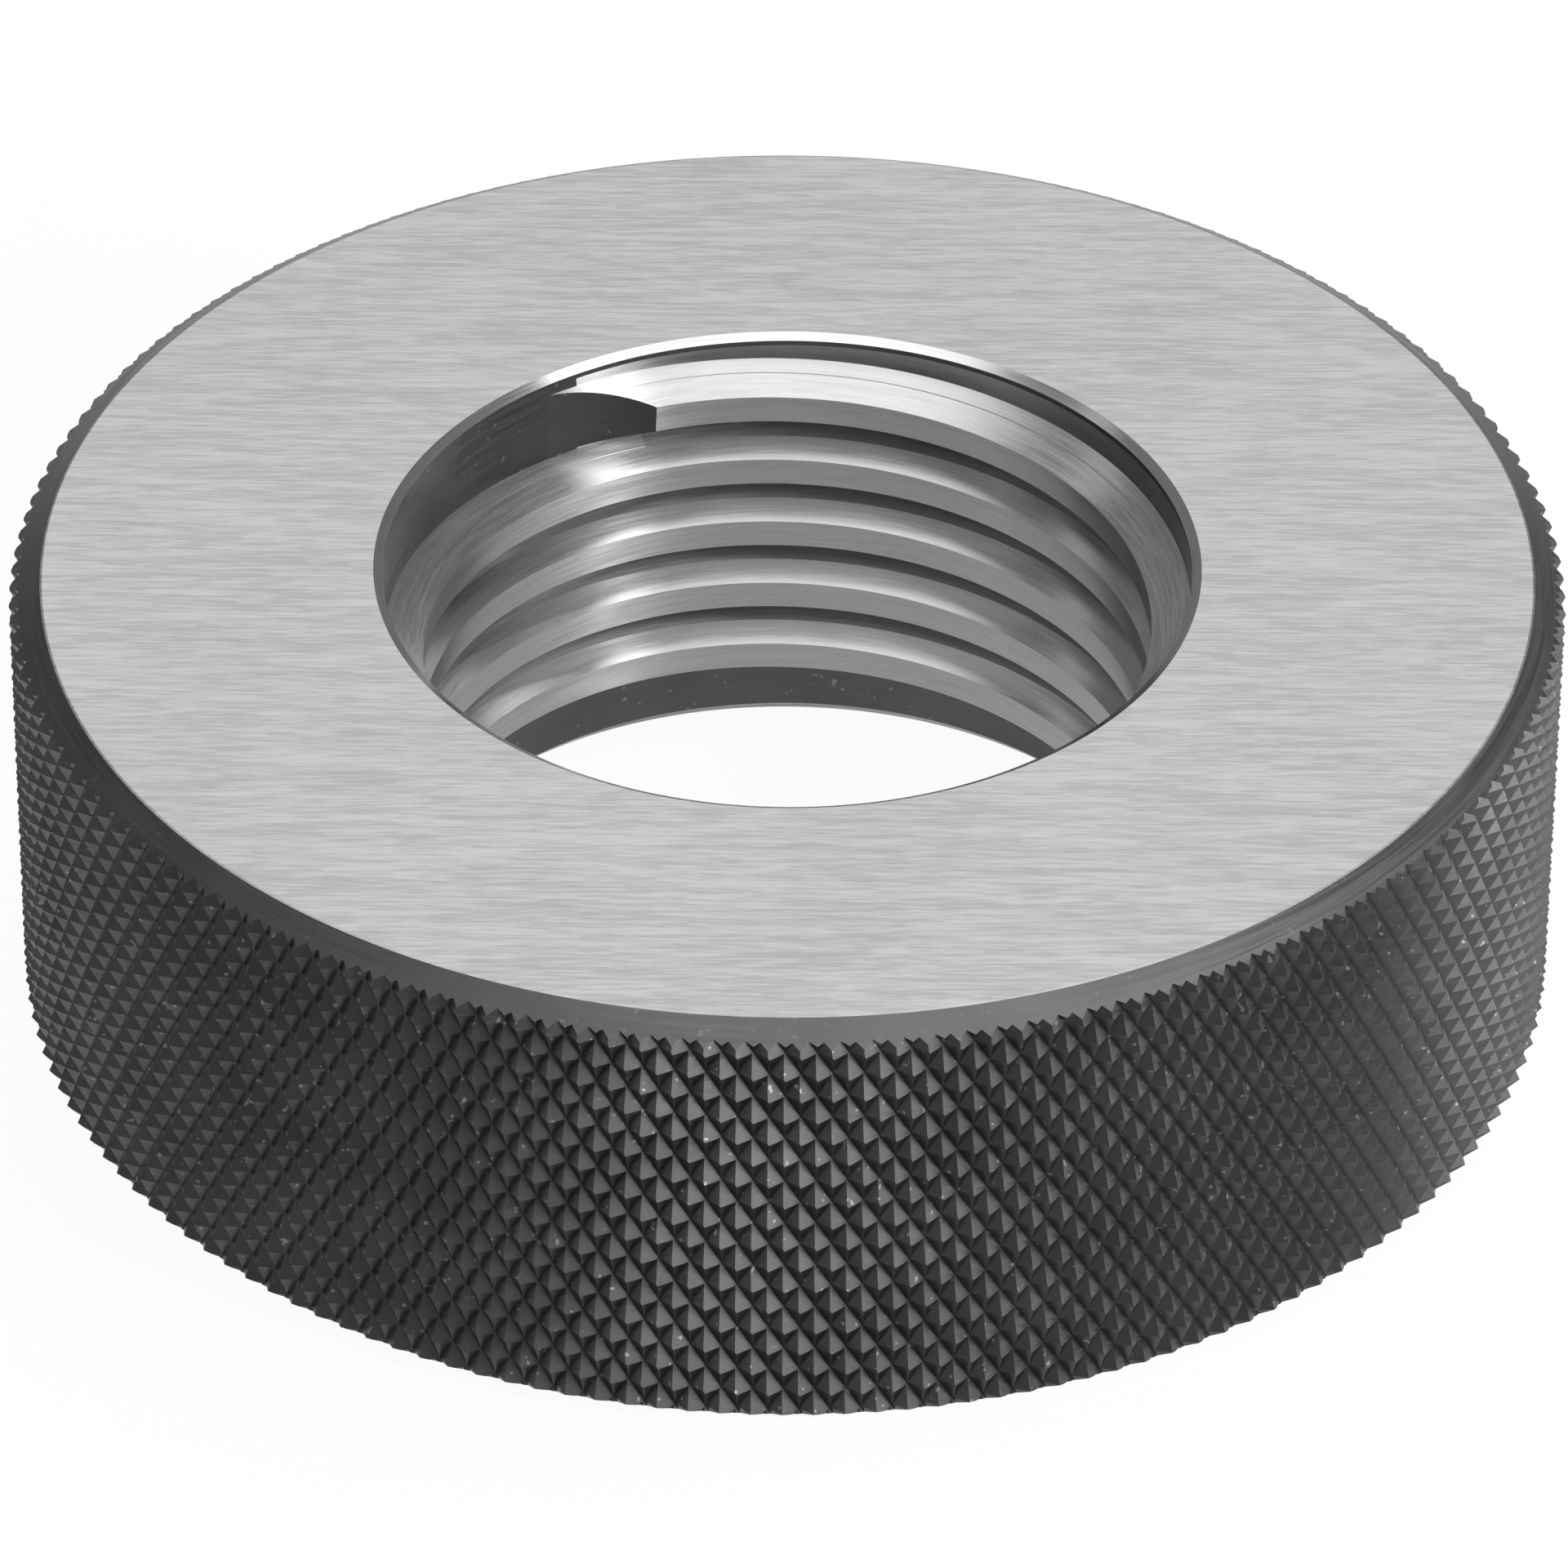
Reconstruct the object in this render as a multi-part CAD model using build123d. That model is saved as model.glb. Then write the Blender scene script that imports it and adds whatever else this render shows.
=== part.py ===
from build123d import *

# Plain thread ring gauge, turned from one bar of steel.
#
# The ring stands on its lower face: the origin is the centre of that face and +Z runs up the bore.
# Azimuths are in degrees, anticlockwise from +X seen from above. Lengths are in millimetres.

import os
from math import acos, atan, ceil, cos, degrees, pi, radians, sin, tan

# Ring blank
rim_diameter = 100.0  # over the points of the knurl
ring_height = 31.0
rim_chamfer_radial = 2.1  # both faces
rim_chamfer_axial = 1.35
upper_mouth_radial = 0.6  # flat edge break at the bore's upper mouth
upper_mouth_axial = 0.35
lower_mouth_chamfer = 1.1  # 45 degrees, the lead-in at the bore's lower mouth

# Diamond knurl of the rim: four-sided points, in rows that are staggered by half a diamond
knurl_count = 108  # diamonds in one turn, fewer and larger than the rolled ones to keep the faces few
knurl_angle = 30.8  # between the grooves and the axis
knurl_depth = 0.66  # from the points to the crossings of the grooves
rim_stock = 0.5  # how far the blank stands outside the points

# Right-hand thread
major_diameter = 52.0  # at the root of the groove, which is also the plain bore
pitch = 5.0
thread_depth = 2.5  # from the root of the groove to the crest of the ridge
thread_angle = 60.0  # between the two flanks
root_flat = 0.2  # bottom of the groove, along the axis

# Cleared ends: the thin first and last turns of the ridge are milled away to the root
start_azimuth = 112.0  # where the crest of the full ridge begins, at the upper mouth
start_depth = 3.85  # from a face to the middle of the crest, where the full ridge ends
cutter_radius = 10.5
cutter_overlap = 0.2  # how far the cutter's edge passes behind the root

bite = 0.1  # how deep the ridge is rooted in the blank before the two are fused
bore_stock = 0.2  # how far the ridge stands inside the crest before it is bored to size

# Worked out from the above
rim_radius = rim_diameter / 2
root_radius = major_diameter / 2
crest_radius = root_radius - thread_depth
half_flank = thread_depth * tan(radians(thread_angle / 2))
base_width = pitch - root_flat
crest_flat = base_width - 2 * half_flank
full_turns = (ring_height - 2 * start_depth) / pitch
valley_radius = rim_radius - knurl_depth
half_diamond = 180 / knurl_count  # azimuth from one column of the knurl to the next
row_rise = pi * rim_radius / knurl_count / tan(radians(knurl_angle))
first_row = -2  # below the ring's lower face
last_row = 2 * ceil(ring_height / row_rise / 2) + 2


def turned_blank():
    """The ring before threading and knurling: chamfered rim, flat faces and a bore with chamfered mouths."""
    face_radius = rim_radius - rim_chamfer_radial
    blank_radius = rim_radius + rim_stock
    chamfer_end = (blank_radius - face_radius) * rim_chamfer_axial / rim_chamfer_radial
    section = Polyline(
        (root_radius + lower_mouth_chamfer, 0),
        (face_radius, 0),
        (blank_radius, chamfer_end),
        (blank_radius, ring_height - chamfer_end),
        (face_radius, ring_height),
        (root_radius + upper_mouth_radial, ring_height),
        (root_radius, ring_height - upper_mouth_axial),
        (root_radius, lower_mouth_chamfer),
        close=True,
    )
    return revolve(Plane.XZ * make_face(section), Axis.Z)


def knurl_point(column, row, radius):
    """A point of the knurl's grid, where a diamond is two columns wide and two rows high."""
    azimuth = radians(column * half_diamond)
    return Vector(radius * cos(azimuth), radius * sin(azimuth), row * row_rise)


def flank(*corners):
    """A flat face with three corners."""
    return Face(Wire.make_polygon(corners, close=True))


def diamond(column, row):
    """The four flanks of one point of the knurl, which rise from the crossings of the grooves."""
    tip = knurl_point(column, row, rim_radius)
    crossings = [
        knurl_point(column + across, row + up, valley_radius)
        for across, up in ((1, 0), (0, 1), (-1, 0), (0, -1))
    ]
    return [flank(crossings[side - 1], crossings[side], tip) for side in range(4)]


def knurled_bar():
    """Bar with a diamond knurl all round, closed by flat fans a little past the ring's faces."""
    flanks = []
    for column in range(2 * knurl_count):
        odd = column % 2
        for row in range(first_row + odd, last_row + odd, 2):
            flanks += diamond(column, row)
        for row in (first_row - 1, last_row - 1):
            here = knurl_point(column, row + odd, valley_radius)
            there = knurl_point(column + 1, row + 1 - odd, valley_radius)
            flanks.append(flank(here, there, Vector(0, 0, row * row_rise)))
    return Solid(Shell(flanks))


def run_out_angle():
    """Azimuth, in degrees, between the cutter's centre and the point where its edge meets the crest."""
    centre = root_radius + cutter_overlap - cutter_radius
    cosine = (crest_radius**2 + centre**2 - cutter_radius**2) / (2 * crest_radius * centre)
    return degrees(acos(cosine))


def thread_ridge():
    """The helical ridge, from the lower cutter's centre up to the upper cutter's, rooted in the blank."""
    spare = run_out_angle()
    climb = pitch * (full_turns + 2 * spare / 360)
    lowest = start_depth - pitch * spare / 360
    outer = root_radius + bite
    inner = crest_radius - bore_stock
    flank_slope = tan(radians(thread_angle / 2))
    outer_half_width = base_width / 2 + bite * flank_slope
    inner_half_width = crest_flat / 2 - bore_stock * flank_slope
    section = Polyline(
        (inner, -inner_half_width),
        (outer, -outer_half_width),
        (outer, outer_half_width),
        (inner, inner_half_width),
        close=True,
    )
    path = Helix(pitch=pitch, height=climb, radius=root_radius)
    ridge = sweep(Plane.XZ * make_face(section), path=path, is_frenet=True)
    lower_azimuth = start_azimuth - 360 * full_turns - spare
    return Pos(0, 0, lowest) * Rot(0, 0, lower_azimuth) * ridge


def crest_bore():
    """The bore that brings the crest of the ridge to the minor diameter."""
    return Pos(0, 0, ring_height / 2) * Cylinder(crest_radius, ring_height)


def upper_cutter():
    """The mill that clears the ridge at the upper mouth, standing square to the ridge in the groove below it."""
    lead_angle = degrees(atan(pitch / (2 * pi * root_radius)))
    middle = start_azimuth + run_out_angle() / 2
    groove_height = ring_height - start_depth + pitch * (run_out_angle() / 2) / 360 - pitch / 2
    reach = root_radius + cutter_overlap
    turn = radians(run_out_angle() / 2)
    axis_distance = reach - cutter_radius
    mill = Pos(axis_distance * cos(turn), axis_distance * sin(turn), start_depth) * Cylinder(
        cutter_radius, 2 * start_depth
    )
    return Pos(0, 0, groove_height) * Rot(0, 0, middle) * Rot(lead_angle, 0, 0) * mill


def lower_cutter():
    """The same mill at the lower mouth: the upper one, turned over about a line across the ring."""
    lower_azimuth = start_azimuth - 360 * full_turns
    fold = (start_azimuth + lower_azimuth) / 2
    turned = Rot(0, 0, fold) * Rot(180, 0, 0) * Rot(0, 0, -fold)
    return Pos(0, 0, ring_height / 2) * turned * Pos(0, 0, -ring_height / 2) * upper_cutter()


def gauge_ring():
    """The whole gauge: the blank with the cleared ridge fused into its bore, and its rim knurled."""
    ridge = thread_ridge() - crest_bore() - upper_cutter() - lower_cutter()
    return (turned_blank() + ridge) & knurled_bar()


os.makedirs("parts", exist_ok=True)
ring = gauge_ring()
export_step(ring, "parts/gauge_ring.step", write_pcurves=False)
print(f"crest flat {crest_flat:.3f} mm, {full_turns:.2f} full turns, volume {ring.volume / 1000:.2f} cm3")
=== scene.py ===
import logging
import math
from collections.abc import Callable
from dataclasses import dataclass
from enum import Enum

import bpy
from mathutils import Matrix, Vector


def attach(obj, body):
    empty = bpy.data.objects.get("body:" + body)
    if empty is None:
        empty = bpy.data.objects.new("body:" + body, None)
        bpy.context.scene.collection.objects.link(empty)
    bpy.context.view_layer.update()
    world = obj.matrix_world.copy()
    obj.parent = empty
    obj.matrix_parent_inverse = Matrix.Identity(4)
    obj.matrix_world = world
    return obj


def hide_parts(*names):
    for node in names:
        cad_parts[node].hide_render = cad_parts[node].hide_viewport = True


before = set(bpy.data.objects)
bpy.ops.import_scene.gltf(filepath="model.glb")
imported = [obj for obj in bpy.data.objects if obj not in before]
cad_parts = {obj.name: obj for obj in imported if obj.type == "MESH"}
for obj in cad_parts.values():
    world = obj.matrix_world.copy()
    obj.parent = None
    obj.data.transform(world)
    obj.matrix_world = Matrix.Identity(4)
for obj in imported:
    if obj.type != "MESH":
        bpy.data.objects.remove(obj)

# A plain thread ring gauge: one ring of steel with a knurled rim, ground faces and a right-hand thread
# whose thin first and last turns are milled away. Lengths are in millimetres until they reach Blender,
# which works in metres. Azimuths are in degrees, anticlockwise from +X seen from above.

MM = 0.001
NODE = "gauge_ring"
RING_HEIGHT = 31.0

log = logging.getLogger("thread_ring_gauge")

Point = tuple[float, float]
Face = bpy.types.MeshPolygon
Piece = bpy.types.Object
Socket = bpy.types.NodeSocket


# ----- Bench work: the few moves that every piece is made with -----


class Fit(Enum):
    """How one solid is joined to another."""

    ADD = "UNION"
    CUT = "DIFFERENCE"
    KEEP_SHARED = "INTERSECT"


def leave_edit() -> None:
    """Goes back to object mode."""
    bpy.ops.object.mode_set(mode="OBJECT")


def clear_selection() -> None:
    """Leaves object mode with nothing selected, so that an operator acts on the new piece alone."""
    if bpy.context.object is not None and bpy.context.object.mode != "OBJECT":
        leave_edit()
    bpy.ops.object.select_all(action="DESELECT")


def take(piece: Piece) -> None:
    """Makes one piece the only selected and the active one.

    Args:
        piece: the object to work on.
    """
    clear_selection()
    piece.select_set(True)
    bpy.context.view_layer.objects.active = piece


def settle(piece: Piece) -> None:
    """Puts a piece's place into its mesh, so that its object sits at the origin, unturned and unscaled.

    Args:
        piece: the object to settle.
    """
    take(piece)
    bpy.ops.object.transform_apply(location=True, rotation=True, scale=True)


def open_whole(piece: Piece) -> None:
    """Goes into edit mode with all of a piece selected.

    Args:
        piece: the mesh.
    """
    take(piece)
    bpy.ops.object.mode_set(mode="EDIT")
    bpy.ops.mesh.select_all(action="SELECT")


def merge_corners(piece: Piece, nearer: float) -> None:
    """Makes one corner of those that lie close together.

    Args:
        piece: the mesh.
        nearer: millimetres between two corners, below which they become one.
    """
    open_whole(piece)
    bpy.ops.mesh.remove_doubles(threshold=nearer * MM)
    leave_edit()


def apply_modifiers(piece: Piece) -> None:
    """Applies every modifier of a piece, from the first to the last.

    Args:
        piece: the object whose modifiers are applied.
    """
    take(piece)
    for name in [m.name for m in piece.modifiers]:
        bpy.ops.object.modifier_apply(modifier=name)


def join_solids(target: Piece, tool: Piece, fit: Fit) -> None:
    """Adds, cuts or intersects one closed solid with another, and removes the tool.

    Args:
        target: the solid that stays.
        tool: the solid that is used up.
        fit: what is done with it.
    """
    cut = target.modifiers.new(fit.name.lower(), "BOOLEAN")
    cut.operation = fit.value
    cut.solver = "MANIFOLD"
    cut.object = tool
    apply_modifiers(target)
    bpy.data.objects.remove(tool)


def draw_section(name: str, corners: list[Point]) -> Piece:
    """Draws a closed section in the XZ plane, corner by corner, as a loop of edges.

    Args:
        name: the new object's name.
        corners: (radius, height) of each corner in turn, in millimetres.

    Returns:
        The section as an object at the origin.
    """
    clear_selection()
    bpy.ops.mesh.primitive_plane_add(size=MM, location=(0, 0, 0))
    section = bpy.context.object
    section.name = name
    bpy.ops.object.mode_set(mode="EDIT")
    bpy.ops.mesh.select_mode(type="VERT")
    bpy.ops.mesh.select_all(action="SELECT")
    bpy.ops.mesh.merge(type="CENTER")
    radius, height = corners[0]
    bpy.ops.transform.translate(value=(radius * MM, 0, height * MM))
    for (r0, z0), (r1, z1) in zip(corners, corners[1:]):
        step = ((r1 - r0) * MM, 0, (z1 - z0) * MM)
        bpy.ops.mesh.extrude_vertices_move(TRANSFORM_OT_translate={"value": step})
    leave_edit()
    last = len(section.data.vertices) - 1
    for vertex in section.data.vertices:
        vertex.select = vertex.index in (0, last)
    bpy.ops.object.mode_set(mode="EDIT")
    bpy.ops.mesh.select_mode(type="VERT")
    bpy.ops.mesh.edge_face_add()
    leave_edit()
    return section


def close_and_face_out(piece: Piece, nearer: float) -> None:
    """Merges doubles, closes open ends and turns every face outwards.

    Args:
        piece: the mesh to finish.
        nearer: as for merge_corners.
    """
    merge_corners(piece, nearer)
    bpy.ops.object.mode_set(mode="EDIT")
    bpy.ops.mesh.select_mode(type="EDGE")
    bpy.ops.mesh.select_all(action="DESELECT")
    bpy.ops.mesh.select_non_manifold(extend=False)
    bpy.ops.mesh.fill_holes(sides=0)
    bpy.ops.mesh.select_all(action="SELECT")
    bpy.ops.mesh.normals_make_consistent(inside=False)
    leave_edit()


def select_parts(
    piece: Piece,
    kind: str,
    chosen: Callable[[Face | bpy.types.MeshVertex], bool],
) -> None:
    """Goes into edit mode with only some of a piece's corners or faces selected.

    Args:
        piece: the mesh.
        kind: "VERT" for corners, "FACE" for faces.
        chosen: True for what is selected.
    """
    take(piece)
    bpy.ops.object.mode_set(mode="EDIT")
    bpy.ops.mesh.select_mode(type=kind)
    bpy.ops.mesh.select_all(action="DESELECT")
    leave_edit()
    for part in piece.data.vertices if kind == "VERT" else piece.data.polygons:
        part.select = chosen(part)
    bpy.ops.object.mode_set(mode="EDIT")


def turn_and_lift(azimuth: float, height: float) -> Matrix:
    """A turn about the axis, in degrees, and a lift along it, in millimetres."""
    return Matrix.Translation((0, 0, height * MM)) @ Matrix.Rotation(math.radians(azimuth), 4, "Z")


def grey(tone: float) -> tuple[float, float, float, float]:
    """A neutral, opaque colour, where 0 is black and 1 is white."""
    return (tone, tone, tone, 1)


def polar(radius: float, azimuth: float, height: float) -> Vector:
    """A point in metres, from a radius and a height in millimetres and an azimuth in degrees."""
    turn = math.radians(azimuth)
    return Vector((radius * math.cos(turn), radius * math.sin(turn), height)) * MM


# ----- Shared effects, as shader node groups -----


class NodeSheet:
    """A shader node tree under construction, with short ways to add, link and set nodes."""

    def __init__(self, tree: bpy.types.NodeTree) -> None:
        """Takes up the node tree to work in."""
        self.tree = tree

    def feed(self, target: Socket, source: object) -> None:
        """Links an input to its source, or sets its value.

        Args:
            target: the input.
            source: a socket to link or a value to set.
        """
        if isinstance(source, Socket):
            self.tree.links.new(source, target)
        else:
            target.default_value = source

    def put(self, node: bpy.types.Node, **values: object) -> None:
        """Sets or links some of a node's inputs.

        Args:
            node: the node.
            values: sockets or values by the input's name, with underscores for spaces.
        """
        for name, value in values.items():
            self.feed(node.inputs[name.replace("_", " ")], value)

    def node(self, kind: str, **settings: object) -> bpy.types.Node:
        """Adds a node and sets its properties.

        Args:
            kind: the node's type, without ShaderNode before it.
            settings: property names and values.

        Returns:
            The new node.
        """
        made = self.tree.nodes.new(f"ShaderNode{kind}")
        for name, value in settings.items():
            setattr(made, name, value)
        return made

    def math(self, operation: str, *values: Socket | float) -> Socket:
        """Adds a math node.

        Args:
            operation: what it works out.
            values: sockets to link or numbers to set.

        Returns:
            The result's socket.
        """
        made = self.node("Math", operation=operation)
        for target, value in zip(made.inputs, values):
            self.feed(target, value)
        return made.outputs[0]


class NodeGroup(NodeSheet):
    """A shader node group that is built once and placed in several materials."""

    def __init__(self, name: str) -> None:
        """Starts an empty group.

        Args:
            name: the group's name.
        """
        super().__init__(bpy.data.node_groups.new(name, "ShaderNodeTree"))
        self.inward = self.tree.nodes.new("NodeGroupInput")
        self.outward = self.tree.nodes.new("NodeGroupOutput")

    def takes(self, name: str, kind: str) -> Socket:
        """Adds a named input of a kind, Float or Vector, and returns the socket that carries it inside."""
        self.tree.interface.new_socket(name=name, in_out="INPUT", socket_type=f"NodeSocket{kind}")
        return self.inward.outputs[name]

    def gives(self, name: str, kind: str, source: Socket) -> None:
        """Adds a named output of a kind, Float or Vector, fed by a socket inside the group."""
        self.tree.interface.new_socket(name=name, in_out="OUTPUT", socket_type=f"NodeSocket{kind}")
        self.feed(self.outward.inputs[name], source)


def build_turned_lay() -> bpy.types.NodeTree:
    """Coordinates that run round the axis, in millimetres: radius, height and arc length at the rim.

    Returns:
        The group, with a Vector output.
    """
    rim_radius = 50.0  # millimetres
    group = NodeGroup("turned_lay")
    place = group.node("TexCoord")
    split = group.node("SeparateXYZ")
    group.feed(split.inputs[0], place.outputs["Object"])
    x, y, z = (split.outputs[i] for i in range(3))
    square = group.math("ADD", group.math("MULTIPLY", x, x), group.math("MULTIPLY", y, y))
    radius = group.math("DIVIDE", group.math("SQRT", square), MM)
    arc = group.math("MULTIPLY", group.math("ARCTAN2", y, x), rim_radius)
    height = group.math("DIVIDE", z, MM)
    joined = group.node("CombineXYZ")
    for source, target in zip((radius, height, arc), joined.inputs):
        group.feed(target, source)
    group.gives("Vector", "Vector", joined.outputs[0])
    return group.tree


def build_straight_lay() -> bpy.types.NodeTree:
    """Coordinates in millimetres along the straight strokes of a surface grinder, which run along X.

    Returns:
        The group, with a Vector output.
    """
    out_of_square = 0.4  # degrees between the strokes and X
    group = NodeGroup("straight_lay")
    place = group.node("TexCoord")
    scale = group.node("VectorMath", operation="SCALE")
    group.put(scale, Vector=place.outputs["Object"], Scale=1 / MM)
    turned = group.node("VectorRotate", rotation_type="Z_AXIS")
    group.put(turned, Vector=scale.outputs[0], Angle=math.radians(out_of_square))
    group.gives("Vector", "Vector", turned.outputs[0])
    return group.tree


def build_tool_marks() -> bpy.types.NodeTree:
    """Fine scratches drawn out along the lay, in two widths.

    Returns:
        The group. It takes a Vector in millimetres and the scratches' sizes, and gives Mask and Height.
    """
    fine_share = 0.6  # of the fine scratches in the whole depth
    shallow, deep = 0.35, 0.65  # heights between which the mask rises from 0 to 1
    group = NodeGroup("tool_marks")
    vector = group.takes("Vector", "Vector")
    stretch = group.takes("Stretch", "Vector")
    fine = group.takes("Fine", "Float")
    coarse = group.takes("Coarse", "Float")
    drawn = group.node("VectorMath", operation="MULTIPLY")
    group.feed(drawn.inputs[0], vector)
    group.feed(drawn.inputs[1], stretch)
    layers = []
    for size, detail in ((fine, 2.0), (coarse, 3.0)):
        noise = group.node("TexNoise", noise_dimensions="3D")
        group.put(noise, Vector=drawn.outputs[0], Scale=size, Detail=detail)
        layers.append(noise.outputs["Fac"])
    small = group.math("MULTIPLY", layers[0], fine_share)
    height = group.math("ADD", small, group.math("MULTIPLY", layers[1], 1 - fine_share))
    ramp = group.node("MapRange", interpolation_type="SMOOTHSTEP")
    group.put(ramp, Value=height, From_Min=shallow, From_Max=deep)
    group.gives("Mask", "Float", ramp.outputs[0])
    group.gives("Height", "Float", height)
    return group.tree


def build_mottle() -> bpy.types.NodeTree:
    """Broad soft patches and small specks, as an oiled dark finish has.

    Returns:
        The group. It takes patch and speck sizes, and gives Patches and Specks.
    """
    speck_edge = 0.06  # how far the noise rises from a speck's edge to its full strength
    group = NodeGroup("mottle")
    patch = group.takes("Patch Scale", "Float")
    speck = group.takes("Speck Scale", "Float")
    speckless = group.takes("Speckless", "Float")
    place = group.node("TexCoord")
    layers = []
    for size, detail in ((patch, 4.0), (speck, 1.0)):
        noise = group.node("TexNoise", noise_dimensions="3D")
        group.put(noise, Vector=place.outputs["Object"], Scale=size, Detail=detail)
        layers.append(noise.outputs["Fac"])
    specks = group.node("MapRange", interpolation_type="SMOOTHSTEP")
    full = group.math("ADD", speckless, speck_edge)
    group.put(specks, Value=layers[1], From_Min=speckless, From_Max=full)
    group.gives("Patches", "Float", layers[0])
    group.gives("Specks", "Float", specks.outputs[0])
    return group.tree


@dataclass(frozen=True)
class Effects:
    """The node groups that the finishes share."""

    turned_lay: bpy.types.NodeTree
    straight_lay: bpy.types.NodeTree
    tool_marks: bpy.types.NodeTree
    mottle: bpy.types.NodeTree

    @classmethod
    def build(cls) -> "Effects":
        """Builds every shared group once."""
        return cls(build_turned_lay(), build_straight_lay(), build_tool_marks(), build_mottle())


# ----- Finishes -----


class Lay(Enum):
    """Which way a tool's marks run."""

    STRAIGHT = "straight"
    TURNED = "turned"


class MaterialBench(NodeSheet):
    """One material under construction."""

    def __init__(self, name: str) -> None:
        """Starts a material with a Principled BSDF.

        Args:
            name: the material's name.
        """
        self.material = bpy.data.materials.new(name)
        self.material.use_nodes = True
        super().__init__(self.material.node_tree)
        self.shader = self.tree.nodes["Principled BSDF"]

    def group(self, tree: bpy.types.NodeTree, **values: object) -> bpy.types.Node:
        """Places a shared group.

        Args:
            tree: the group to place.
            values: sockets or values for its inputs, with underscores for spaces.

        Returns:
            The group node.
        """
        placed = self.node("Group", node_tree=tree)
        self.put(placed, **values)
        return placed

    def roughness(self, mask: Socket, low: float, high: float) -> None:
        """Feeds the shader's roughness from a mask.

        Args:
            mask: the mask, from 0 to 1.
            low: the roughness where it is 0.
            high: the roughness where it is 1.
        """
        ramp = self.node("MapRange")
        self.put(ramp, Value=mask, To_Min=low, To_Max=high)
        self.put(self.shader, Roughness=ramp.outputs[0])

    def tint(self, mask: Socket, low: float | Socket, high: float) -> Socket:
        """Mixes two greys by a mask.

        Args:
            mask: 0 gives low, 1 gives high.
            low: a tone, or a socket that carries a colour.
            high: a tone.

        Returns:
            The mixed colour's socket.
        """
        mix = self.node("Mix", data_type="RGBA")
        first = low if isinstance(low, Socket) else grey(low)
        self.put(mix, Factor=mask, A=first, B=grey(high))
        return mix.outputs["Result"]

    def bump(self, height: Socket, depth: float, strength: float) -> None:
        """Feeds the shader's normal from a height.

        Args:
            height: the height's socket, from 0 to 1.
            depth: how deep a height of 1 is, in millimetres.
            strength: how much of it shows.
        """
        node = self.node("Bump")
        self.put(node, Height=height, Strength=strength, Distance=depth * MM)
        self.put(self.shader, Normal=node.outputs[0])

    def draw_out(self, amount: float) -> None:
        """Draws reflections out across marks that run round the axis.

        Args:
            amount: how far, where 0 leaves them round and 1 is the most.
        """
        quarter_turn = 0.25
        tangent = self.node("Tangent", direction_type="RADIAL", axis="Z")
        self.put(self.shader, Tangent=tangent.outputs[0])
        self.put(self.shader, Anisotropic=amount, Anisotropic_Rotation=quarter_turn)

    def on_rays(self, kinds: tuple[str, ...]) -> Socket:
        """A factor that is 1 on some kinds of ray.

        Args:
            kinds: names of Light Path's outputs.

        Returns:
            The factor's socket.
        """
        path = self.node("LightPath")
        factor = path.outputs[kinds[0]]
        for kind in kinds[1:]:
            factor = self.math("MAXIMUM", factor, path.outputs[kind])
        return factor


@dataclass(frozen=True, kw_only=True)
class Finish:
    """What every finish of the steel has: two tones, a roughness and the marks of a tool."""

    name: str
    lay: Lay = Lay.TURNED
    dark: float  # tone, from 0 to 1
    light: float
    smooth: float  # roughness between the marks
    rough: float  # roughness in the marks
    mark_depth: float  # millimetres
    strength: float  # how much of their relief shows
    along: float = 0.02  # marks per millimetre along the lay, as a share of those across it
    fine: float
    coarse: float
    patch_scale: float  # of broad soft patches, per metre

    def start(self, effects: Effects) -> tuple[MaterialBench, Socket]:
        """Starts the material as a metal with the tool's marks in it.

        Args:
            effects: the shared node groups.

        Returns:
            The material's bench, and the mask of the marks.
        """
        bench = MaterialBench(self.name)
        straight = self.lay is Lay.STRAIGHT
        lay = bench.group(effects.straight_lay if straight else effects.turned_lay)
        marks = bench.group(
            effects.tool_marks,
            Vector=lay.outputs["Vector"],
            Stretch=(self.along, 1, 1) if straight else (1, 1, self.along),
            Fine=self.fine,
            Coarse=self.coarse,
        )
        bench.put(bench.shader, Metallic=1.0)
        bench.bump(marks.outputs["Height"], self.mark_depth, self.strength)
        return bench, marks.outputs["Mask"]


@dataclass(frozen=True, kw_only=True)
class BareSteel(Finish):
    """Bare steel with the marks of the tool that finished it."""

    fine: float = 6.0
    coarse: float = 1.6
    patch_scale: float = 45.0
    drawn_out: float = 0.0  # how far its reflections are drawn out across turned marks

    def build(self, effects: Effects) -> bpy.types.Material:
        """Builds the finish as a material.

        Args:
            effects: the shared node groups.

        Returns:
            The material.
        """
        bench, mask = self.start(effects)
        mottle = bench.group(effects.mottle, Patch_Scale=self.patch_scale)
        bench.put(bench.shader, Base_Color=bench.tint(mask, self.dark, self.light))
        both = bench.math("ADD", mask, mottle.outputs["Patches"])
        average = bench.math("DIVIDE", both, 2)
        bench.roughness(average, self.smooth, self.rough)
        if self.drawn_out > 0:
            bench.draw_out(self.drawn_out)
        return bench.material


# Besides the oiled black oxide of the rim, this dark finish is also used inside the bore as painted shade.
@dataclass(frozen=True, kw_only=True)
class BlackOxideAndPaintedShade(Finish):
    """Steel under an oiled black oxide, with patches and specks."""

    speck: float
    fine: float = 5.0
    coarse: float = 1.2
    patch_scale: float = 150.0
    speck_scale: float = 1800.0  # per metre
    speckless: float = 0.7  # level of the noise up to which there are no specks

    def build(self, effects: Effects) -> bpy.types.Material:
        """Builds the finish as a material.

        Args:
            effects: the shared node groups.

        Returns:
            The material.
        """
        bench, mask = self.start(effects)
        mottle = bench.group(
            effects.mottle,
            Patch_Scale=self.patch_scale,
            Speck_Scale=self.speck_scale,
            Speckless=self.speckless,
        )
        base = bench.tint(mottle.outputs["Patches"], self.dark, self.light)
        colour = bench.tint(mottle.outputs["Specks"], base, self.speck)
        bench.put(bench.shader, Base_Color=colour)
        bench.roughness(mask, self.smooth, self.rough)
        return bench.material


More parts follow.
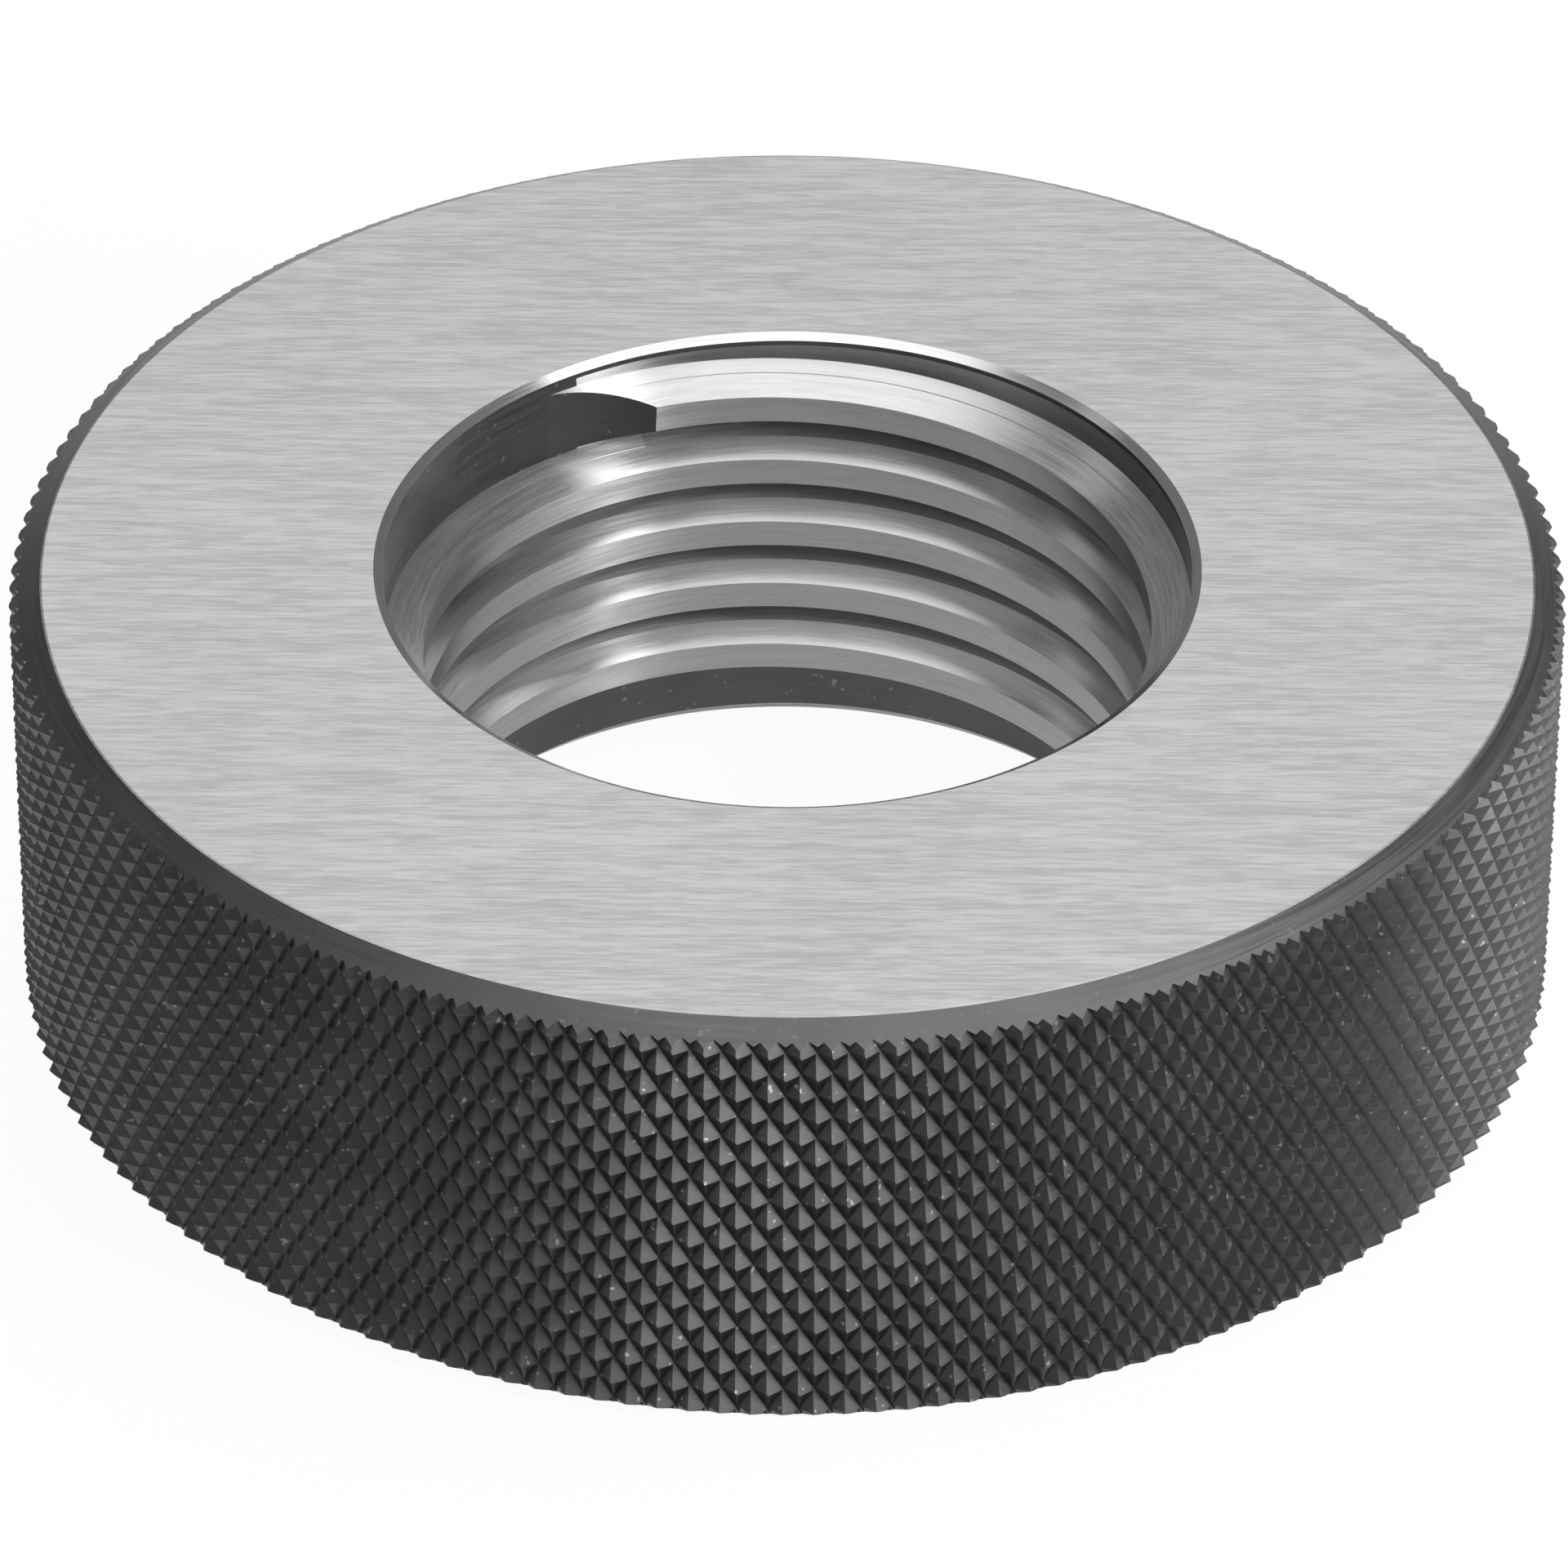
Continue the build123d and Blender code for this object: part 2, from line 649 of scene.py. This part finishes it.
class Surface(Enum):
    """The ring's surfaces, in the order of its material slots."""

    FACE = 0
    FLANK = 1
    CREST_AND_WALL_HIGHLIGHT = 2
    ROOT = 3
    EDGE = 4
    CHAMFER = 5
    KNURL = 6
    FLANK_PAINTED_SHADE = 7


FINISHES: dict[Surface, BareSteel | BlackOxideAndPaintedShade] = {
    Surface.FACE: BareSteel(
        name="surface_ground_steel",
        lay=Lay.STRAIGHT,
        dark=0.36, light=0.51,
        smooth=0.3, rough=0.42,
        mark_depth=0.002, strength=0.3,
        along=0.08, fine=5.5, coarse=1.5,
    ),
    Surface.FLANK: BareSteel(
        name="lapped_thread_flank",
        dark=0.54, light=0.64,
        smooth=0.15, rough=0.24,
        mark_depth=0.001, strength=0.03,
        drawn_out=0.9,
    ),
    # Besides the crests and the line on an open flank, this finish goes on the wall above the milled upper
    # end as a painted highlight.
    Surface.CREST_AND_WALL_HIGHLIGHT: BareSteel(
        name="bored_crest_and_wall_highlight",
        dark=0.33, light=0.43,
        smooth=0.3, rough=0.42,
        mark_depth=0.001, strength=0.1,
        drawn_out=0.9,
    ),
    # Painted shade: this near-black finish goes on the bore's wall, the milled ends of the ridge, the band
    # under the upper mouth and the lower mouth, in place of the shade that falls inside the bore.
    Surface.ROOT: BlackOxideAndPaintedShade(
        name="bore_painted_shade",
        dark=0.06, light=0.10, speck=0.16,
        smooth=0.3, rough=0.45,
        mark_depth=0.002, strength=0.3,
    ),
    # Painted shade: the outer part of a flank with another turn of the ridge above it gets this darker steel
    # in place of the shade that the ridge casts there; the same part of an open flank keeps the bright flank
    # finish.
    Surface.FLANK_PAINTED_SHADE: BareSteel(
        name="flank_painted_shade",
        dark=0.30, light=0.40,
        smooth=0.35, rough=0.5,
        mark_depth=0.002, strength=0.3,
    ),
    Surface.EDGE: BareSteel(
        name="broken_edge_steel",
        dark=0.64, light=0.72,
        smooth=0.12, rough=0.2,
        mark_depth=0.001, strength=0.2,
    ),
    Surface.CHAMFER: BlackOxideAndPaintedShade(
        name="black_oxide_chamfer",
        dark=0.12, light=0.17, speck=0.2,
        smooth=0.34, rough=0.46,
        mark_depth=0.003, strength=0.35,
    ),
    Surface.KNURL: BlackOxideAndPaintedShade(
        name="black_oxide_knurl",
        dark=0.04, light=0.09, speck=0.2,
        smooth=0.3, rough=0.45,
        mark_depth=0.004, strength=0.3,
    ),
}


# ----- The ring -----


@dataclass
class TurnedBlank:
    """The ring as it leaves the lathe: bored, faced and chamfered, with its rim left over size."""

    height: float
    rim_radius: float
    root_radius: float
    chamfer_radial: float = 2.1
    chamfer_axial: float = 1.35
    upper_mouth_radial: float = 0.6
    upper_mouth_axial: float = 0.35
    lower_mouth: float = 1.1
    # The band under the upper mouth gets the dark root finish as painted shade.
    painted_shade_lip: float = 0.35  # height of the dark band under the upper mouth
    edge_break: float = 0.07  # half the width of the broken edge between face and chamfer
    rim_stock: float = 1.0  # left for the knurl's envelope
    segments: int = 720
    merge: float = 0.002  # corners that are nearer become one

    def rim_corner(self) -> list[Point]:
        """The lower rim corner: the broken edge, then the chamfer run out past the rim.

        Returns:
            (radius, height) of each corner.
        """
        slope = self.chamfer_axial / self.chamfer_radial
        inner = self.rim_radius - self.chamfer_radial
        outer = self.rim_radius + self.rim_stock
        return [
            (inner - self.edge_break, 0.0),
            (inner + self.edge_break, self.edge_break * slope),
            (outer, (outer - inner) * slope),
        ]

    def section(self) -> list[Point]:
        """The ring's section, from the lower mouth outwards and round.

        Returns:
            (radius, height) of each corner.
        """
        lower = self.rim_corner()
        upper = [(r, self.height - z) for r, z in reversed(lower)]
        lip = self.height - self.upper_mouth_axial
        return [
            (self.root_radius + self.lower_mouth, 0.0),
            *lower,
            *upper,
            (self.root_radius + self.upper_mouth_radial, self.height),
            (self.root_radius, lip),
            (self.root_radius, lip - self.painted_shade_lip),
            (self.root_radius, self.lower_mouth),
        ]

    def build(self) -> Piece:
        """Spins the section into the ring.

        Returns:
            The blank, closed and facing out.
        """
        blank = draw_section("turned_blank", self.section())
        open_whole(blank)
        bpy.ops.mesh.spin(steps=self.segments, angle=math.tau, center=(0, 0, 0), axis=(0, 0, 1))
        leave_edit()
        close_and_face_out(blank, self.merge)
        return blank


@dataclass
class KnurledBar:
    """A bar with a diamond knurl, from which the ring's rim is taken.

    One family of grooves is cut to its full depth and leaves sharp ridges. The other crosses it less deep,
    and notches the ridges into diamonds.
    """

    radius: float  # over the points
    height: float
    starts: int = 160  # diamonds round the rim
    helix: float = 30.8  # degrees between the grooves and the axis
    depth: float = 0.72  # of the deep grooves
    notch: float = 0.9  # depth of the crossing grooves, as a share of the deep ones
    spare: float = 2.0  # knurled past each face
    trimmed: float = 0.5  # what is left of that when the bar is cut to length
    cell_merge: float = 0.002  # corners of one diamond that are nearer become one
    row_merge: float = 0.03  # the same between neighbouring diamonds
    cut_merge: float = 0.001  # the same where the bar is cut to length
    same_place: float = 0.01  # how near a corner is to the place by which it is chosen
    on_crease: float = 1e-9  # metres within which a corner lies on a crease

    def step(self) -> float:
        """Angle from one diamond to the next, in degrees."""
        return 360 / self.starts

    def half_rise(self) -> float:
        """Height from one row of diamonds to the next."""
        return math.pi * self.radius / self.starts / math.tan(math.radians(self.helix))

    def crease(
        self,
        cell: Piece,
        chosen: Callable[[Face], bool],
        through: Point,
        across: Point,
    ) -> None:
        """Splits some of a flat cell's faces along a straight line.

        Args:
            cell: the flat cell, in the YZ plane.
            chosen: True for a face to split.
            through: (y, z) of a point on the line, in millimetres.
            across: (y, z) of a direction square to the line.
        """
        select_parts(cell, "FACE", chosen)
        square = Vector((0, *across)).normalized()
        bpy.ops.mesh.bisect(plane_co=Vector((0, *through)) * MM, plane_no=square, threshold=self.on_crease)
        leave_edit()

    def raise_corners(self, cell: Piece, places: list[Point], height: float) -> None:
        """Moves some of the cell's corners outwards.

        Args:
            cell: the cell.
            places: (y, z) of each corner, in millimetres.
            height: how far they move.
        """

        def chosen(vertex: bpy.types.MeshVertex) -> bool:
            """True for a corner at one of the places."""
            here = (vertex.co.y / MM, vertex.co.z / MM)
            return any(math.dist(here, place) < self.same_place for place in places)

        select_parts(cell, "VERT", chosen)
        bpy.ops.transform.translate(value=(height * MM, 0, 0))
        leave_edit()

    def diamond(self) -> Piece:
        """One diamond, centred on +X at the bar's lower end.

        Returns:
            The diamond: two broad flanks along the deep grooves, and a notch at each end of its ridge.
        """
        base = self.radius - self.depth
        width = base * math.tan(math.radians(self.step() / 2))
        rise = self.half_rise()
        clear_selection()
        bpy.ops.mesh.primitive_circle_add(
            vertices=4, radius=MM, fill_type="NGON", location=(0, 0, 0), rotation=(0, math.pi / 2, 0)
        )
        cell = bpy.context.object
        cell.name = "knurl_diamond"
        cell.scale = (rise, width, 1)
        settle(cell)
        half_y, half_z = width / 2, rise / 2
        near_y, near_z = half_y * (1 - self.notch), half_z * (1 - self.notch)
        far_y, far_z = half_y * (1 + self.notch), half_z * (1 + self.notch)

        def on_right(face: Face) -> bool:
            """True for a face on the ridge's upper right side."""
            return face.center.y * rise + face.center.z * width > 0

        def on_left(face: Face) -> bool:
            """True for a face on the ridge's lower left side."""
            return not on_right(face)

        self.crease(cell, lambda face: True, (0, 0), (rise, width))
        self.crease(cell, on_right, (-near_y, 0), (1, 0))
        self.crease(cell, on_right, (0, -near_z), (0, 1))
        self.crease(cell, on_left, (near_y, 0), (1, 0))
        self.crease(cell, on_left, (0, near_z), (0, 1))
        merge_corners(cell, self.cell_merge)
        ridge = [(-near_y, near_z), (near_y, -near_z)]
        notches = [
            (-half_y, half_z),
            (-near_y, far_z),
            (-far_y, near_z),
            (half_y, -half_z),
            (near_y, -far_z),
            (far_y, -near_z),
        ]
        self.raise_corners(cell, notches, self.depth * (1 - self.notch))
        self.raise_corners(cell, ridge, self.depth)
        cell.location = (base * MM, 0, -self.spare * MM)
        settle(cell)
        return cell

    def array(self, piece: Piece, count: int, azimuth: float, rise: float) -> None:
        """Repeats a piece, each copy turned and raised from the last.

        Args:
            piece: the mesh to repeat.
            count: how many copies there are in all.
            azimuth: the turn between copies, in degrees.
            rise: the height between copies.
        """
        marker = bpy.data.objects.new("array_step", None)
        bpy.context.scene.collection.objects.link(marker)
        marker.matrix_world = turn_and_lift(azimuth, rise)
        repeat = piece.modifiers.new("repeat", "ARRAY")
        repeat.count = count
        repeat.use_relative_offset = False
        repeat.use_object_offset = True
        repeat.offset_object = marker
        bpy.context.view_layer.update()
        apply_modifiers(piece)
        bpy.data.objects.remove(marker)

    def trim(self, piece: Piece, height: float, keep_above: bool) -> None:
        """Cuts the bar square and closes the cut.

        Args:
            piece: the bar.
            height: where the cut lies.
            keep_above: True if what is above the cut stays.
        """
        open_whole(piece)
        bpy.ops.mesh.bisect(
            plane_co=(0, 0, height * MM),
            plane_no=(0, 0, 1),
            use_fill=True,
            clear_inner=keep_above,
            clear_outer=not keep_above,
        )
        leave_edit()

    def build(self) -> Piece:
        """Repeats the diamond up and round, and cuts the bar to length.

        Returns:
            The bar, closed and facing out.
        """
        bar = self.diamond()
        rows = math.ceil((self.height + 2 * self.spare) / self.half_rise()) + 1
        self.array(bar, rows, self.step() / 2, self.half_rise())
        self.array(bar, self.starts, self.step(), 0)
        merge_corners(bar, self.row_merge)
        self.trim(bar, -self.trimmed, True)
        self.trim(bar, self.height + self.trimmed, False)
        close_and_face_out(bar, self.cut_merge)
        bar.name = "knurled_bar"
        return bar


@dataclass
class ThreadRidge:
    """The right-hand ridge of the thread, with its thin ends milled away."""

    ring_height: float
    root_radius: float
    pitch: float = 5.0
    depth: float = 2.5
    flank_angle: float = 60.0
    root_flat: float = 0.2
    relief_radius: float = 25.04  # where the lapped part of the flank ends
    relief_line: float = 0.07  # width of the line that shows there on an open flank
    start_azimuth: float = 112.0  # where the ridge's full section ends, under the upper mouth
    start_depth: float = 3.85  # from the ring's face to the ridge's middle there
    cutter_radius: float = 10.5
    cutter_overlap: float = 0.2  # how far outside the root the edge of the mill passes
    rooted: float = 0.1  # how far the ridge reaches into the wall
    steps_per_turn: int = 360
    merge: float = 0.001  # corners that are nearer become one

    def crest_radius(self) -> float:
        """Radius of the ridge's crest."""
        return self.root_radius - self.depth

    def half_width(self, radius: float) -> float:
        """Half the ridge's width at a radius, along the axis."""
        slope = math.tan(math.radians(self.flank_angle / 2))
        return (self.pitch - self.root_flat) / 2 - (self.root_radius - radius) * slope

    def full_turns(self) -> float:
        """Turns between the two milled ends."""
        return (self.ring_height - 2 * self.start_depth) / self.pitch

    def run_out(self) -> float:
        """Azimuth between the cutter's middle and the point where its edge meets the crest.

        Returns:
            The angle in degrees.
        """
        crest, middle = self.crest_radius(), self.reach() - self.cutter_radius
        cosine = (crest**2 + middle**2 - self.cutter_radius**2) / (2 * crest * middle)
        return math.degrees(math.acos(cosine))

    def reach(self) -> float:
        """How far from the axis the cutter's edge passes."""
        return self.root_radius + self.cutter_overlap

    def ridge(self) -> Piece:
        """Winds the ridge's section up the bore.

        Returns:
            The whole ridge, closed and facing out.
        """
        outer = self.root_radius + self.rooted
        radii = [self.crest_radius(), self.relief_radius, self.relief_radius + self.relief_line, outer]
        lower = [(r, -self.half_width(r)) for r in radii]
        upper = [(r, self.half_width(r)) for r in reversed(radii)]
        ridge = draw_section("thread_ridge", lower + upper)
        turns = self.full_turns() + 2 * self.run_out() / 360
        screw = ridge.modifiers.new("wind", "SCREW")
        screw.axis = "Z"
        screw.angle = math.tau * turns
        screw.screw_offset = self.pitch * turns * MM
        screw.steps = screw.render_steps = round(self.steps_per_turn * turns)
        screw.use_smooth_shade = False
        apply_modifiers(ridge)
        first = self.start_azimuth - 360 * self.full_turns() - self.run_out()
        lowest = self.start_depth - self.pitch * self.run_out() / 360
        ridge.matrix_world = turn_and_lift(first, lowest)
        settle(ridge)
        close_and_face_out(ridge, self.merge)
        return ridge

    def behind_the_end(self, azimuth: float) -> float:
        """How far a place lies behind the ridge's upper end, in degrees back along the thread."""
        return (self.start_azimuth + self.run_out() - azimuth) % 360

    def flank_is_open(self, azimuth: float, height: float, faces_up: bool) -> bool:
        """Tells if a point of a flank has no ridge between it and its mouth of the bore.

        Args:
            azimuth: where the point is, in degrees.
            height: the same, in millimetres.
            faces_up: True on the ridge's upper flank.

        Returns:
            True on the upper flank of the last turn and on the lower flank of the first.
        """
        if not faces_up:
            azimuth = 2 * self.start_azimuth - 360 * self.full_turns() - azimuth
            height = self.ring_height - height
        behind = (self.start_azimuth - azimuth) % 360
        return height > self.ring_height - self.start_depth - self.pitch * behind / 360

    def upper_cutter_place(self) -> Matrix:
        """Where the mill stands that clears the upper end, square to the ridge.

        Returns:
            The mill's matrix, in metres.
        """
        lead = math.atan(self.pitch / (math.tau * self.root_radius))
        middle = self.start_azimuth + self.run_out() / 2
        groove = self.ring_height - self.start_depth + self.pitch * self.run_out() / 2 / 360 - self.pitch / 2
        stand = polar(self.reach() - self.cutter_radius, self.run_out() / 2, self.start_depth)
        return turn_and_lift(middle, groove) @ Matrix.Rotation(lead, 4, "X") @ Matrix.Translation(stand)

    def turned_over(self) -> Matrix:
        """Turns the upper end onto the lower one, about a line across the ring.

        Returns:
            The turn, in metres.
        """
        lower = self.start_azimuth - 360 * self.full_turns()
        fold = math.radians((self.start_azimuth + lower) / 2)
        lift = Matrix.Translation((0, 0, self.ring_height / 2 * MM))
        to_line, from_line = Matrix.Rotation(-fold, 4, "Z"), Matrix.Rotation(fold, 4, "Z")
        turn = from_line @ Matrix.Rotation(math.pi, 4, "X") @ to_line
        return lift @ turn @ lift.inverted()

    def mill(self, place: Matrix) -> Piece:
        """The end mill as a solid, standing where it cuts.

        Args:
            place: its matrix.

        Returns:
            The mill's object.
        """
        clear_selection()
        bpy.ops.mesh.primitive_cylinder_add(
            vertices=360, radius=self.cutter_radius * MM, depth=2 * self.start_depth * MM
        )
        cutter = bpy.context.object
        cutter.name = "end_mill"
        cutter.matrix_world = place
        settle(cutter)
        return cutter

    def build(self) -> Piece:
        """Winds the ridge and mills both ends.

        Returns:
            The ridge, closed and facing out.
        """
        ridge = self.ridge()
        upper = self.upper_cutter_place()
        for place in (upper, self.turned_over() @ upper):
            join_solids(ridge, self.mill(place), Fit.CUT)
        return ridge


@dataclass
class GaugeRing:
    """The whole gauge, made as it is made in the shop: turned, knurled, threaded, milled and finished."""

    height: float = RING_HEIGHT
    rim_radius: float = 50.0
    root_radius: float = 26.0
    smooth_below: float = 10.0  # degrees between faces that are shaded as one
    bore_wall: float = 5.0  # what lies less than this outside the root belongs to the bore
    face_level: float = 0.99  # least share of up or down in the direction of a ground face
    edge_level: float = 0.93  # the same for its broken edge
    chamfer_level: float = 0.8  # the same for the rim's chamfer
    flank_level: float = 0.4  # the same for a flank
    on_surface: float = 0.001  # millimetres within which a face lies on a plane or a cylinder
    on_wall: float = 0.01  # the same for the flat-sided cylinders of the bore
    # Painted highlight: along this arc the wall above the milled end gets the crest finish in place of the
    # dark root finish.
    painted_highlight_arc: float = 200.0  # degrees behind the ridge's end along which the wall over it is bright

    def __post_init__(self) -> None:
        """Sets out the operations from the ring's main sizes."""
        self.blank = TurnedBlank(self.height, self.rim_radius, self.root_radius)
        self.knurl = KnurledBar(self.rim_radius, self.height)
        self.thread = ThreadRidge(self.height, self.root_radius)

    def surface_at(self, centre: Vector, normal: Vector) -> Surface:
        """Names the surface that a face belongs to.

        Args:
            centre: the face's middle, in metres.
            normal: the way it faces.

        Returns:
            The surface.
        """
        radius = math.hypot(centre.x, centre.y) / MM
        height = centre.z / MM
        from_face = min(height, self.height - height)
        flat = abs(normal.z)
        if from_face < self.on_surface and flat > self.face_level:
            return Surface.FACE
        if radius > self.root_radius + self.bore_wall:
            if flat > self.edge_level:
                return Surface.FACE
            return Surface.CHAMFER if flat > self.chamfer_level else Surface.KNURL
        azimuth = math.degrees(math.atan2(centre.y, centre.x))
        if radius > self.root_radius + self.on_surface:
            # The upper mouth keeps bright broken-edge steel; the lower mouth, deep in the bore, gets the
            # dark root finish as painted shade.
            return Surface.EDGE if height > self.height / 2 else Surface.ROOT
        if flat < self.flank_level:
            return self.upright_surface(radius, azimuth, height)
        if radius < self.thread.relief_radius:
            return Surface.FLANK
        # The outer part of a covered flank gets painted shade.
        if not self.thread.flank_is_open(azimuth, height, normal.z > 0):
            return Surface.FLANK_PAINTED_SHADE
        on_line = radius < self.thread.relief_radius + self.thread.relief_line
        return Surface.CREST_AND_WALL_HIGHLIGHT if on_line else Surface.FLANK

    def upright_surface(self, radius: float, azimuth: float, height: float) -> Surface:
        """Names an upright surface inside the bore: a crest, the plain wall or a milled end. Part of the
        wall gets a painted highlight, and the rest of the wall and the milled ends get painted shade.

        Args:
            radius: where the face is, in millimetres.
            azimuth: the same, in degrees.
            height: the same, in millimetres.

        Returns:
            The surface.
        """
        if radius < self.thread.crest_radius() + self.on_wall:
            return Surface.CREST_AND_WALL_HIGHLIGHT
        lip = self.height - self.blank.upper_mouth_axial - self.blank.painted_shade_lip
        plain_wall = radius > self.root_radius - self.on_wall and height < lip
        beside_ridge = self.thread.run_out() / 2 < self.thread.behind_the_end(azimuth) < self.painted_highlight_arc
        near_mouth = height > self.height - 2 * self.thread.start_depth
        # Painted highlight on the wall along the arc behind the ridge's end; every other upright face here
        # gets painted shade.
        return Surface.CREST_AND_WALL_HIGHLIGHT if plain_wall and beside_ridge and near_mouth else Surface.ROOT

    def dress(self, ring: Piece, effects: Effects) -> None:
        """Gives every face its finish and shades the ring.

        Args:
            ring: the finished mesh.
            effects: the shared node groups.
        """
        ring.data.materials.clear()
        for surface in Surface:
            ring.data.materials.append(FINISHES[surface].build(effects))
        for face in ring.data.polygons:
            face.material_index = self.surface_at(face.center, face.normal).value
        take(ring)
        bpy.ops.object.shade_smooth_by_angle(angle=math.radians(self.smooth_below))

    def build(self, effects: Effects) -> Piece:
        """Makes the ring and puts it in the frame.

        Args:
            effects: the shared node groups.

        Returns:
            The finished ring.
        """
        ring = self.blank.build()
        log.info("turned blank: %d faces", len(ring.data.polygons))
        bar = self.knurl.build()
        log.info("knurled bar: %d faces", len(bar.data.polygons))
        join_solids(ring, bar, Fit.KEEP_SHARED)
        ridge = self.thread.build()
        log.info("thread ridge: %d faces", len(ridge.data.polygons))
        join_solids(ring, ridge, Fit.ADD)
        ring.name = ring.data.name = "thread_gauge_ring"
        self.dress(ring, effects)
        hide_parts(NODE)
        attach(ring, "root")
        return ring


# ----- The studio -----


@dataclass(frozen=True)
class SoftBox:
    """A flat lamp that looks at a point."""

    name: str
    azimuth: float  # degrees, from which side it shines
    elevation: float
    distance: float  # metres
    width: float
    length: float
    radiance: float  # how bright its face is, where 1 is white
    aim: tuple[float, float, float] = (0.0, 0.0, 0.02)  # metres

    def build(self) -> None:
        """Hangs the lamp."""
        data = bpy.data.lights.new(self.name, "AREA")
        data.shape = "RECTANGLE"
        data.size, data.size_y = self.width, self.length
        data.energy = self.radiance * math.pi * self.width * self.length
        lamp = bpy.data.objects.new(self.name, data)
        bpy.context.scene.collection.objects.link(lamp)
        side, up = math.radians(self.azimuth), math.radians(self.elevation)
        away = Vector((math.cos(up) * math.cos(side), math.cos(up) * math.sin(side), math.sin(up)))
        lamp.location = Vector(self.aim) + away * self.distance
        lamp.rotation_mode = "QUATERNION"
        lamp.rotation_quaternion = away.to_track_quat("Z", "Y")


@dataclass
class Studio:
    """A pale table in an even grey room, with soft lamps and the camera."""

    lamps: tuple[SoftBox, ...] = (
        SoftBox(
            "overhead_softbox",
            azimuth=90, elevation=72, distance=1.1, width=1.0, length=2.3, radiance=1.27,
        ),
        SoftBox(
            "left_strip",
            azimuth=153, elevation=50, distance=1.1, width=0.6, length=0.1, radiance=0.4,
        ),
        SoftBox(
            "right_strip",
            azimuth=6, elevation=64, distance=1.1, width=0.5, length=0.12, radiance=2.0,
        ),
        SoftBox(
            "window_strip",
            azimuth=-32, elevation=32, distance=1.0, width=0.08, length=0.35, radiance=90.0,
        ),
        SoftBox(
            "right_softbox",
            azimuth=-15, elevation=10, distance=0.8, width=1.1, length=0.29, radiance=9.5,
        ),
    )
    ambient: float = 0.19  # of the grey room round the table
    floor_tone: float = 0.86
    floor_size: float = 8.0  # metres
    floor_roughness: float = 0.9
    floor_sheen: float = 0.2
    floor_glow: float = 0.95  # share of plain white in what is seen or mirrored of the floor
    camera_distance: float = 710.7  # millimetres, from the middle of the ring's upper face
    camera_elevation: float = 35.11  # degrees
    camera_aim: tuple[float, float, float] = (-0.15, 0.0, 13.36)  # millimetres
    camera_roll: float = 0.31
    lens: float = 253.99
    sensor_width: float = 36.0
    clip: tuple[float, float] = (0.01, 20.0)  # metres

    def build_room(self) -> None:
        """The room: an even grey, so that the lamps draw the shape of the bright metal."""
        world = bpy.data.worlds.new("grey_room")
        world.use_nodes = True
        bpy.context.scene.world = world
        sheet = NodeSheet(world.node_tree)
        sheet.put(world.node_tree.nodes["Background"], Color=grey(1), Strength=self.ambient)

    def build_floor(self) -> None:
        """The pale table top, which keeps the ring's shadow."""
        clear_selection()
        bpy.ops.mesh.primitive_plane_add(size=self.floor_size, location=(0, 0, 0))
        floor = bpy.context.object
        floor.name = "pale_floor"
        bench = MaterialBench("pale_table")
        bench.put(
            bench.shader,
            Base_Color=grey(self.floor_tone),
            Roughness=self.floor_roughness,
            Specular_IOR_Level=self.floor_sheen,
        )
        glow = bench.node("Emission")
        bench.put(glow, Color=grey(1))
        mix = bench.node("MixShader")
        seen = bench.on_rays(("Is Camera Ray", "Is Glossy Ray", "Is Transmission Ray"))
        sources = (bench.math("MULTIPLY", seen, self.floor_glow), bench.shader.outputs[0], glow.outputs[0])
        for source, target in zip(sources, mix.inputs):
            bench.feed(target, source)
        bench.put(bench.tree.nodes["Material Output"], Surface=mix.outputs[0])
        floor.data.materials.append(bench.material)

    def build_camera(self) -> None:
        """The camera, a long lens a good arm's length away."""
        data = bpy.data.cameras.new("studio_camera")
        data.lens = self.lens
        data.sensor_width = self.sensor_width
        data.clip_start, data.clip_end = self.clip
        camera = bpy.data.objects.new("studio_camera", data)
        bpy.context.scene.collection.objects.link(camera)
        rise = math.radians(self.camera_elevation)
        place = Vector((0, -math.cos(rise), math.sin(rise))) * self.camera_distance
        place.z += RING_HEIGHT
        forward = (Vector(self.camera_aim) - place).normalized()
        right = forward.cross(Vector((0, 0, 1))).normalized()
        up = right.cross(forward)
        roll = math.radians(self.camera_roll)
        tilted_right = math.cos(roll) * right + math.sin(roll) * up
        tilted_up = math.cos(roll) * up - math.sin(roll) * right
        turn = Matrix((tilted_right, tilted_up, -forward)).transposed()
        camera.matrix_world = Matrix.Translation(place * MM) @ turn.to_4x4()
        bpy.context.scene.camera = camera

    def build(self) -> None:
        """Sets up the room, the floor, the lamps and the camera."""
        bpy.context.scene.view_settings.view_transform = "Standard"
        self.build_room()
        self.build_floor()
        for lamp in self.lamps:
            lamp.build()
        self.build_camera()


def main() -> None:
    """Builds the studio and the ring, and reports each."""
    logging.basicConfig(level=logging.INFO, format="%(message)s")
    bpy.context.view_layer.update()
    Studio().build()
    log.info("studio built")
    ring = GaugeRing().build(Effects.build())
    log.info("%s: %d vertices, %d faces", ring.name, len(ring.data.vertices), len(ring.data.polygons))
    clear_selection()


if __name__ == "__main__":
    main()
